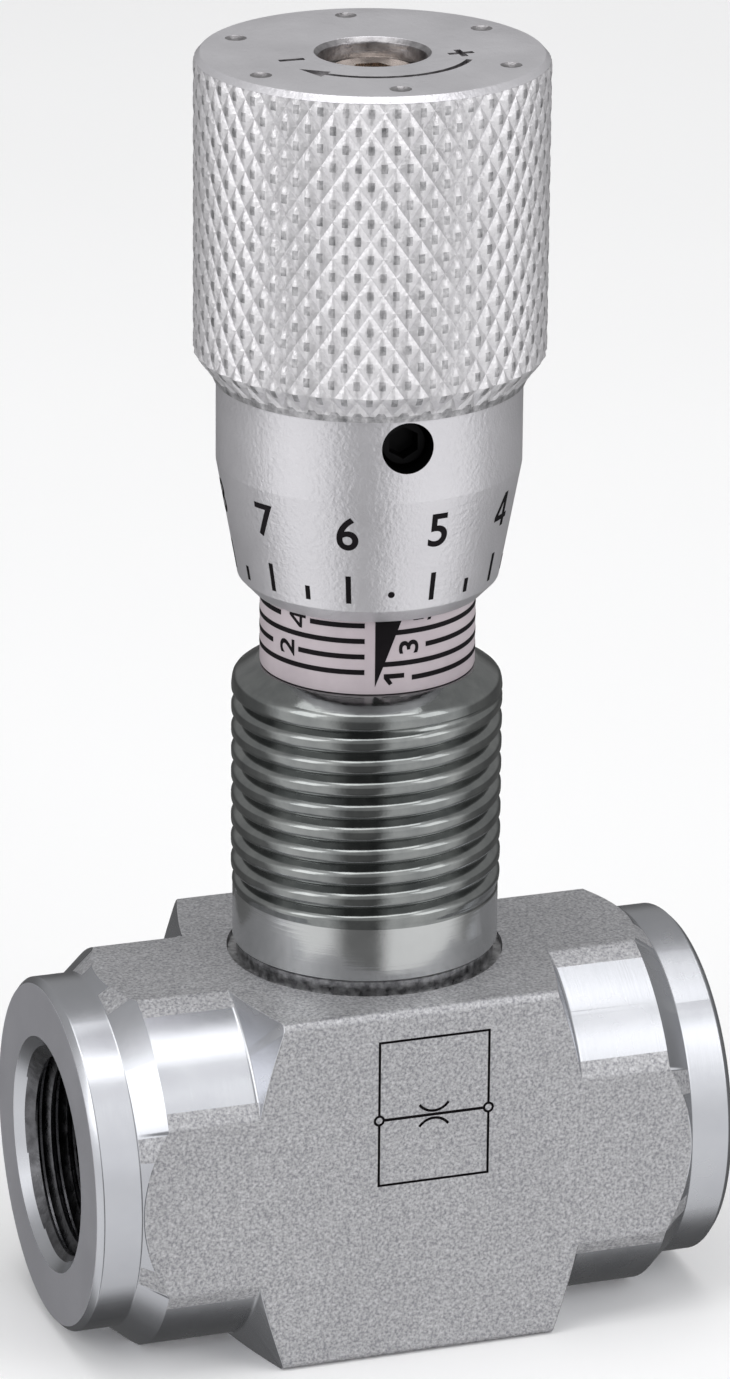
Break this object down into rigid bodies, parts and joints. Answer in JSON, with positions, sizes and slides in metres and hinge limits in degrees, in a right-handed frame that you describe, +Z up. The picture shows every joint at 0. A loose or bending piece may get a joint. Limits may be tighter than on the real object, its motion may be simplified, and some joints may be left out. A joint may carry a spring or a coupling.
{
  "type": "flow control valve",
  "caption": "In-line throttle valve with two threaded ports, a panel-mount neck and a numbered knurled knob that raises a needle spindle.",
  "frame": {"origin": "middle of the block's flat underside, straight below the crossing of the port axis and the spindle axis", "axes": "+Z up the spindle, X along the two ports with the inlet at -X, -Y out of the face with the symbol"},
  "size_m": [0.052, 0.028, 0.1009],
  "materials": {
    "zinc_plated_steel": "blasted forging and bright turned ends, zinc plated",
    "hardened_steel": "ground",
    "printed_sleeve": "pale film printed in black",
    "spring_steel": "phosphated",
    "spindle_steel": "ground and polished",
    "seal_rubber": "nitrile",
    "seal_plastic": "PTFE",
    "knob_aluminium": "satin, clear anodised, diamond knurl",
    "yellow_zinc_steel": "yellow zinc",
    "brass": "turned",
    "black_oxide_steel": "black oxide"
  },
  "bodies": {
    "housing": {"valve_body": "zinc_plated_steel", "seat_ring": "hardened_steel", "scale_sleeve": "printed_sleeve", "retaining_ring": "spring_steel"},
    "stem_seals": {"spindle_o_ring": "seal_rubber", "backup_ring": "seal_plastic"},
    "knob_and_spindle": {"knob": "knob_aluminium", "spindle": "spindle_steel", "knob_screw": "yellow_zinc_steel", "knob_washer": "spring_steel"},
    "pad": {"lock_pad": "brass"},
    "set_screw": {"lock_screw": "black_oxide_steel"}
  },
  "joints": [
    {"name": "knob_rise", "type": "slide", "parent": "housing", "child": "stem_seals", "axis": [0, 0, 1], "range_m": [-0.00572, 0.00428]},
    {"name": "knob_turn", "type": "hinge", "parent": "stem_seals", "child": "knob_and_spindle", "pos_m": [0, 0, 0.0145], "axis": [0, 0, 1], "range_deg": [-1646.64, 1233.36]},
    {"name": "lock_travel", "type": "slide", "parent": "knob_and_spindle", "child": "pad", "axis": [-0.0785, -0.9969, 0], "range_m": [-0.00024, 0.00072]},
    {"name": "lock_turn", "type": "hinge", "parent": "pad", "child": "set_screw", "pos_m": [0, 0, 0.07342], "axis": [-0.0785, -0.9969, 0], "range_deg": [-108.5, 324.5]}
  ],
  "couplings": [
    {"joint": "knob_rise", "follows": "knob_turn", "m_per_rad": 0.00019894},
    {"joint": "lock_turn", "follows": "lock_travel", "rad_per_m": 7854}
  ]
}
